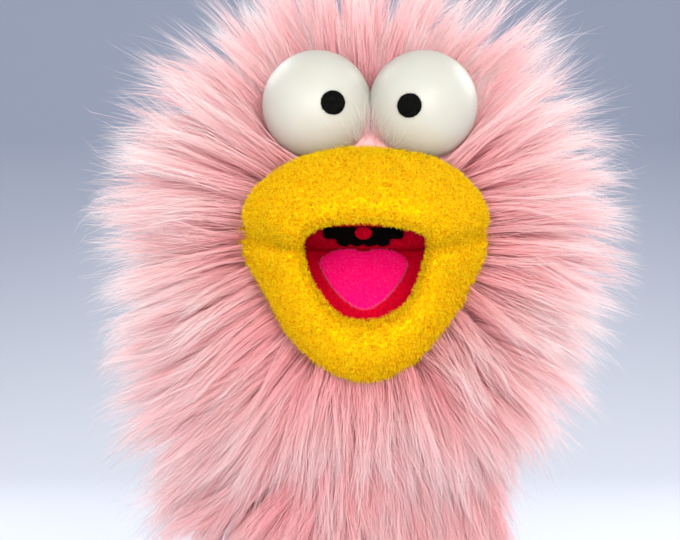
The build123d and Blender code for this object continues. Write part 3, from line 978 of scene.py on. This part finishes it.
def body_shell(name, material, low_z, high_z, outer, inner, keep=None, columns=180, rows=60):
    """A wall that follows the body between two offsets from the fur fabric's surface, and its outer area."""
    z = np.linspace(low_z, high_z, rows)
    if high_z > HEAD_Z:
        dome = HEAD_Z + (high_z - HEAD_Z) * np.sin(np.linspace(0, math.pi / 2, rows))
        z = np.concatenate([np.linspace(low_z, HEAD_Z, rows // 2, endpoint=False), dome])
        rows = len(z)
    angle = np.linspace(-math.pi, math.pi, columns, endpoint=False)
    zz, aa = np.meshgrid(z, angle, indexing="ij")
    points, normals = body_point(zz.ravel(), aa.ravel())
    out = (points + normals * outer).reshape(rows, columns, 3)
    into = (points + normals * inner).reshape(rows, columns, 3)
    middle = (out[:-1] + np.roll(out, -1, 1)[1:]) / 2
    cells = np.ones((rows - 1, columns), bool)
    if keep is not None:
        cells = keep(middle.reshape(-1, 3)).reshape(rows - 1, columns)
    areas = np.linalg.norm(np.cross(out[1:] - out[:-1], np.roll(out, -1, 1)[:-1] - out[:-1]), axis=-1)
    return shell_piece(name, material, out, into, cells), float(areas[cells].sum())


def outside_mouth(points):
    """True off the place where the mouth and the fingers pass through the front of the head."""
    x, y, z = points.T
    turn, far = seen_from_mouth(x, z)
    return ~((y < -5 * MM) & (far < outer_outline(turn) * 0.78))


def tube(name, material, node, rule, slot, dent):
    """A soft tube in the place of a CAD ring, with its folds and gathers, and its unrolled size."""
    low, high = box_of(node)
    outer_r = high[0]
    rows, columns = 70, 240
    z = np.linspace(low[2], high[2], rows)
    angle = np.linspace(0, 2 * math.pi, columns, endpoint=False)
    zz, aa = np.meshgrid(z, angle, indexing="ij")
    wave = dent(zz, aa)

    def ring(r):
        return np.stack([np.sin(aa) * r, -np.cos(aa) * r, zz], -1)

    piece = shell_piece(name, material, ring(outer_r - wave), ring(outer_r - CLOTH_T[node] - wave),
                        np.ones((rows - 1, columns), bool))
    attach(piece, slot, rule, node)
    return piece, (float(2 * math.pi * outer_r), float(high[2] - low[2]))


CLOTH_T = {"sleeve_lining": 1 * MM, "neck_lining": 1 * MM, "neck_elastic": 1.4 * MM, "hem_band": 5 * MM}


def gathers(zz, aa):
    """Soft vertical folds, kept within the cloth's own room."""
    return (0.5 + 0.5 * np.sin(aa * 22 + 0.8 * np.sin(zz / (9 * MM)))) * 0.5 * MM


def ribs(zz, aa):
    return (0.5 + 0.5 * np.sin(zz / (0.42 * MM))) * 0.35 * MM


def hem_roll(zz, aa):
    """The rolled hem with the pull of its stitches."""
    t = np.clip(zz / (14 * MM), 0, 1)
    pinch = np.exp(-((t - 0.78) / 0.05) ** 2)
    pull = 0.5 + 0.5 * np.cos(aa * 60)
    return 2.2 * MM * (2 * t - 1) ** 6 + 0.9 * MM * pinch * (0.6 + 0.4 * pull)


def under_lip(points):
    return (points[:, 1] < 0) & (np.abs(points[:, 0]) < 31 * MM)


def make_skins():
    """The fur fabric's backing and the linings."""
    for name, node, low_z, high_z, offsets, rows, width, held, rests_on, keep, rule in (
            ("head_skin", "head_backing", HEAD_BASE, HEAD_TOP - 0.02 * MM, (0.0, -1.5 * MM), 60,
             0.30, "stretched", "head_foam_left", outside_mouth, "head"),
            ("neck_skin", "neck_backing", WRIST_Z, HEAD_BASE, (0.0, -1.2 * MM), 40,
             0.288, "hung", "head_skin", None, NOD_BLEND),
            ("sleeve_skin", "sleeve_backing", SLEEVE_LOW, WRIST_Z, (0.0, -1.2 * MM), 60,
             0.288, "hung", "neck_skin", None, TURN_BLEND),
            ("chin_skin", "chin_backing", 124 * MM, 154 * MM, (1.6 * MM, 0.4 * MM), 30,
             0.068, "hung", "neck_skin", under_lip, JAW_FOLLOW)):
        skin, area = body_shell(name, SKIN, low_z, high_z, *offsets, keep=keep, rows=rows)
        attach(skin, "fur_backing", rule, node)
    lining, flat = tube("sleeve_lining_cloth", LINING, "sleeve_lining", "sleeve", "lining_cloth", gathers)
    lining, flat = tube("neck_lining_cloth", LINING, "neck_lining", NOD_BLEND, "lining_cloth", gathers)
    tube("neck_elastic_band", ELASTIC, "neck_elastic", "neck", "elastic", ribs)
    tube("hem_tape_band", HEM_TAPE, "hem_band", "sleeve", "hem_tape", hem_roll)


def weave_material(name, dark, light, scale, rough=0.85):
    """A plain weave: two crossed waves at the yarn's size."""
    m = Material(name, rough, Specular_IOR_Level=0.2)
    waves = []
    for turn in (0, 1):
        wave = m.add("TexWave", m.coordinates(), Scale=scale, Distortion=0.6, Detail=1)
        wave.bands_direction = "Z" if turn else "DIAGONAL"
        waves.append(wave.outputs["Fac"])
    mix = m.add("Math", waves[0])
    mix.operation = "MULTIPLY"
    m.links.new(waves[1], mix.inputs[1])
    m.colour(mix.outputs["Value"], [(0.0, dark), (0.6, light)])
    m.bump(mix.outputs["Value"], 0.0003, 0.6)
    return m.data


def foam_material():
    m = Material("open_cell_foam", 0.95, Specular_IOR_Level=0.1)
    cells = m.add("TexVoronoi", m.coordinates(), Scale=900)
    m.colour(cells.outputs["Distance"], [(0.1, (0.50, 0.44, 0.32)), (0.5, (0.80, 0.74, 0.60))])
    m.bump(cells.outputs["Distance"], 0.0006, 0.8)
    return m.data


def board_material():
    m = Material("grey_card", 0.8)
    m.colour(m.noise(700, 5, 0.7), [(0.3, (0.30, 0.27, 0.22)), (0.7, (0.42, 0.38, 0.31))])
    m.bump(m.noise(1200, 4), 0.0002, 0.4)
    return m.data


LINING = weave_material("pink_cotton_lining", (0.62, 0.30, 0.34), (0.86, 0.52, 0.56), 900)
HEM_TAPE = weave_material("pink_hem_tape", (0.60, 0.22, 0.28), (0.84, 0.40, 0.46), 700)
ELASTIC = weave_material("white_elastic", (0.62, 0.60, 0.58), (0.88, 0.86, 0.83), 800)
CLOTH_TAPE = weave_material("cotton_tape", (0.55, 0.52, 0.46), (0.80, 0.76, 0.68), 800)
FOAM = foam_material()
BOARD = board_material()

make_skins()


def make_hem_stitches():
    """Overcast thread round the hem's top edge, one short stitch after another."""
    rng = np.random.default_rng(SEED + 31)
    count = 96
    r = box_of("hem_band")[1][0] + 0.05 * MM
    angle = np.linspace(0, 2 * math.pi, count, endpoint=False) + rng.normal(0, 0.004, count)
    t = np.linspace(0, 1, 5)
    a = angle[:, None] + (0.022 * t)[None, :]
    z = (10.6 + 2.2 * t)[None, :] * MM + rng.normal(0, 0.12, (count, 1)) * MM
    lift = -0.9 * MM + 1.2 * MM * np.sin(t * math.pi)[None, :]
    lines = np.stack([np.sin(a) * (r + lift), -np.cos(a) * (r + lift), np.broadcast_to(z, a.shape)], -1)
    piece = fibres_piece("hem_stitches", ELASTIC, lines, np.full(count, 0.28 * MM), np.full(count, 0.5),
                         np.ones(count), rng)
    attach(piece, "hem_tape", "sleeve")


make_hem_stitches()

# ---------------------------------------------------------------- eyes


def make_eye(side):
    """A ball with a small flat where it is glued to the other one."""
    rows, columns = 96, 128
    polar = np.linspace(0, math.pi, rows)
    turn = np.linspace(0, 2 * math.pi, columns, endpoint=False)
    p, t = np.meshgrid(polar, turn, indexing="ij")
    ball = np.stack([np.cos(p), np.sin(p) * np.cos(t), np.sin(p) * np.sin(t)], -1) * EYE_R
    ball += EYES[side]
    if side == "left":
        ball[..., 0] = np.minimum(ball[..., 0], SEAM_X - 0.1 * MM)
    else:
        ball[..., 0] = np.maximum(ball[..., 0], SEAM_X + 0.1 * MM)
    ball[0] = ball[0].mean(0) + (ball[0] - ball[0].mean(0)) * 0.01
    attach(grid_piece(f"{side}_eye_ball", EYE_WHITE, ball), "eye_plastic", "head", f"{side}_eye")


for side in EYES:
    make_eye(side)

# ---------------------------------------------------------------- felts and foam


def softened(node, name, material, slot, body, voxel, rough, grain):
    """A soft copy of a CAD solid: even small faces, rounded edges and an uneven surface."""
    source = bpy.data.objects[node]
    work = bpy.data.objects.new(name + "_work", source.data.copy())
    bpy.context.scene.collection.objects.link(work)
    remesh = work.modifiers.new("remesh", "REMESH")
    remesh.mode, remesh.voxel_size = "VOXEL", voxel
    relax = work.modifiers.new("relax", "SMOOTH")
    relax.factor, relax.iterations = 0.5, 4
    graph = bpy.context.evaluated_depsgraph_get()
    mesh = bpy.data.meshes.new_from_object(work.evaluated_get(graph))
    bpy.data.objects.remove(work)
    points = np.empty(len(mesh.vertices) * 3, np.float32)
    normals = np.empty(len(mesh.vertices) * 3, np.float32)
    mesh.vertices.foreach_get("co", points)
    mesh.vertex_normals.foreach_get("vector", normals)
    points, normals = points.reshape(-1, 3).astype(float), normals.reshape(-1, 3)
    height = (value_noise(points, grain) - 0.5) + 0.7 * (value_noise(points + 3, grain * 4) - 0.5)
    points = points + normals * height[:, None] * rough
    mesh.vertices.foreach_set("co", points.astype(np.float32).ravel())
    mesh.polygons.foreach_set("use_smooth", np.ones(len(mesh.polygons), bool))
    mesh.materials.clear()
    mesh.materials.append(material)
    mesh.update()
    piece = bpy.data.objects.new(name, mesh)
    bpy.context.scene.collection.objects.link(piece)
    attach(piece, slot, body, node)
    return piece, float(sum(face.area for face in mesh.polygons) / 2), (points, normals)


def felt_fuzz(name, material, surface, count, body, slot, tall, tone_at):
    """Loose wool fibres that stand off a felt's surface."""
    rng = np.random.default_rng(SEED + sum(map(ord, name)))
    points, normals = surface
    pick = rng.integers(0, len(points), count)
    heading = unit(normals[pick] + rng.normal(0, 0.8, (count, 3)))
    bend = rng.normal(0, 0.5, (count, 3))
    length = rng.uniform(0.4, 1.0, (count, 1)) * tall
    lines = bent_lines(points[pick], heading, bend, length, 4)
    piece = fibres_piece(name, material, lines, np.full(count, 0.045 * MM), np.full(count, tone_at),
                         np.ones(count), rng)
    attach(piece, slot, body)


def make_fold_felt():
    """The felt wall at the back of the mouth, which curves forward under the floor felt's back edge."""
    low, high = box_of("fold_felt")
    floor_y, floor_z = swing(np.array([0, FOLD[1] - 4 * MM, FACE_Z - 3.8 * MM]), JAW_OPEN)[1:]
    front_y = low[1]
    profile = np.array([(front_y, high[2]), (front_y, 201.5 * MM), (front_y - 0.3 * MM, 199.7 * MM),
                        (front_y - 1.4 * MM, 198.3 * MM), (front_y - 3.0 * MM, 197.6 * MM),
                        (floor_y - 0.1 * MM, floor_z - 0.25 * MM)])
    run = np.linspace(0, len(profile) - 1, 40)
    y, z = (np.interp(run, np.arange(len(profile)), profile[:, i]) for i in (0, 1))
    x = np.linspace(low[0], high[0], 120)
    front = np.stack([np.broadcast_to(x[:, None], (120, 40)), np.broadcast_to(y, (120, 40)),
                      np.broadcast_to(z, (120, 40))], -1)
    uneven = (value_noise(front.reshape(-1, 3), 0.8 * MM) - 0.5).reshape(120, 40, 1) * 0.14 * MM
    front = front + np.array([0, -1, 0.3]) * uneven
    lean = smooth(run, 1.5, 4.5)[None, :, None]
    back = front + np.array([0, 1.2 * MM, 0]) * (1 - lean) + np.array([0, 0.5 * MM, -0.9 * MM]) * lean
    shape = np.concatenate([front, back[:, ::-1]], 1)
    piece = grid_piece("fold_felt_strip", RED_FELT, shape[:, ::-1], wrap=True, caps=(0, 1))
    rule = ("head", "jaw", (0, -17 * MM, 201 * MM), (0, -20 * MM, 197.3 * MM))
    attach(piece, "red_felt", rule, "fold_felt")


def make_felts():
    """The mouth's felts and the pupils, each cut from flat felt, and the two foam halves of the head."""
    make_fold_felt()
    for node, material, slot, body, flat, glued, hairs, tall in (
            ("palate_felt", RED_FELT, "red_felt", "head", (50, 50), "upper_mouth_plate", 0, 0),
            ("floor_felt", RED_FELT, "red_felt", "jaw", (50, 50), "lower_mouth_plate", 2500, 0.9),
            ("throat_patch", BLACK_FELT, "black_felt", "head", (31, 7.4), "fold_felt_strip", 1500, 1.6),
            ("uvula", RED_FELT, "red_felt", "head", (6.8, 5.2), "throat_patch_piece", 0, 0),
            ("tongue", TONGUE_FELT, "pink_felt", "jaw", (33, 33.4), "floor_felt_piece", 2500, 0.8)):
        piece, area, surface = softened(node, node + "_piece", material, slot, body,
                                        0.42 * MM, 0.14 * MM, 0.8 * MM)
        if hairs:
            fuzz = TONGUE_EDGE if node == "tongue" else material
            felt_fuzz(f"{node.split('_')[0]}_fuzz", fuzz, surface, hairs, body, slot, tall * MM, 0.5)
        if node == "tongue":
            points, normals = surface
            rim = np.abs(normals @ np.array([0, -math.sin(JAW_OPEN), math.cos(JAW_OPEN)])) < 0.5
            felt_fuzz("tongue_rim", TONGUE_EDGE, (points[rim], normals[rim]), 2500, body, slot, 0.7 * MM, 0.9)
    for side in EYES:
        _, _, surface = softened(f"{side}_pupil", f"{side}_pupil_felt", BLACK_FELT, "black_felt", "head",
                                 0.25 * MM, 0.10 * MM, 0.5 * MM)
        felt_fuzz(f"{side}_pupil_fuzz", BLACK_FELT, surface, 700, "head", "black_felt", 0.55 * MM, 0.5)
    for side in ("left", "right"):
        piece, _, _ = softened(f"head_foam_{side}", f"head_foam_{side}_piece", FOAM, "foam", "head",
                               1.6 * MM, 0.5 * MM, 3 * MM)


TONGUE_EDGE = felt_material("hot_pink_felt_edge", (0.95, 0.10, 0.34), (1.0, 0.22, 0.46))
make_felts()

# ---------------------------------------------------------------- finish of the CAD nodes that stay


for node, material in (("upper_mouth_plate", BOARD), ("lower_mouth_plate", BOARD),
                       ("finger_strap", ELASTIC), ("thumb_strap", ELASTIC),
                       ("hinge_tape_upper", CLOTH_TAPE), ("hinge_tape_lower", CLOTH_TAPE)):
    materials = bpy.data.objects[node].data.materials
    materials.clear()
    materials.append(material)

# ---------------------------------------------------------------- studio


def studio():
    scene = bpy.context.scene
    world = bpy.data.worlds.new("studio")
    scene.world = world
    world.use_nodes = True
    background = world.node_tree.nodes["Background"]
    background.inputs["Color"].default_value = (0.93, 0.95, 1.0, 1)
    background.inputs["Strength"].default_value = 0.78

    m = Material("pale_backdrop_painted_falloff", 0.9)
    split = m.add("SeparateXYZ", m.coordinates())
    # painted shade: pale on the floor and painted darker up the wall, as light falling off
    m.colour(split.outputs["Z"], [(0.0, (0.60, 0.62, 0.68)), (0.35, (0.30, 0.33, 0.42))])
    rows = []
    for a in np.linspace(0, math.pi / 2, 24):
        rows.append((0.9 + 0.6 * math.sin(a), 0.6 - 0.6 * math.cos(a)))
    profile = [(-1.6, 0.0)] + rows + [(1.5, 2.4)]
    grid = np.array([[(x, y, z) for x in (-2.6, 2.6)] for y, z in profile])
    floor = grid_piece("studio_sweep", m.data, grid, wrap=False)

    def area(name, place, target, size, power, colour=(1, 1, 1)):
        data = bpy.data.lights.new(name, "AREA")
        data.size, data.energy, data.color = size, power, colour
        lamp = bpy.data.objects.new(name, data)
        lamp.location = place
        lamp.rotation_euler = (Vector(target) - Vector(place)).to_track_quat("-Z", "Y").to_euler()
        scene.collection.objects.link(lamp)

    middle = (0, 0, 0.2)
    area("key", (0.4, -1.4, 0.62), middle, 0.6, 9, (1, 0.97, 0.93))
    area("front", (-0.15, -1.7, 0.22), middle, 0.9, 15.5, (1, 0.985, 0.96))
    area("low_fill", (-0.15, -1.0, 0.05), middle, 0.8, 6.5)
    area("rim", (-0.6, 0.6, 0.8), middle, 0.6, 7)
    area("rim_right", (0.8, 0.5, 0.7), middle, 0.6, 9)


def camera():
    """Straight at the face, as far off as a phone held in the other hand."""
    data = bpy.data.cameras.new("camera")
    eye_plane = -60 * MM
    distance = 0.62
    span = 0.2444
    data.sensor_width = 36
    data.lens = 36 * distance / span
    look = bpy.data.objects.new("camera", data)
    height = 190 * MM
    look.location = (-9 * MM, eye_plane - distance, height)
    look.rotation_euler = (math.pi / 2, 0, 0)
    bpy.context.scene.collection.objects.link(look)
    bpy.context.scene.camera = look


studio()
camera()
bpy.context.scene.view_settings.view_transform = "Standard"

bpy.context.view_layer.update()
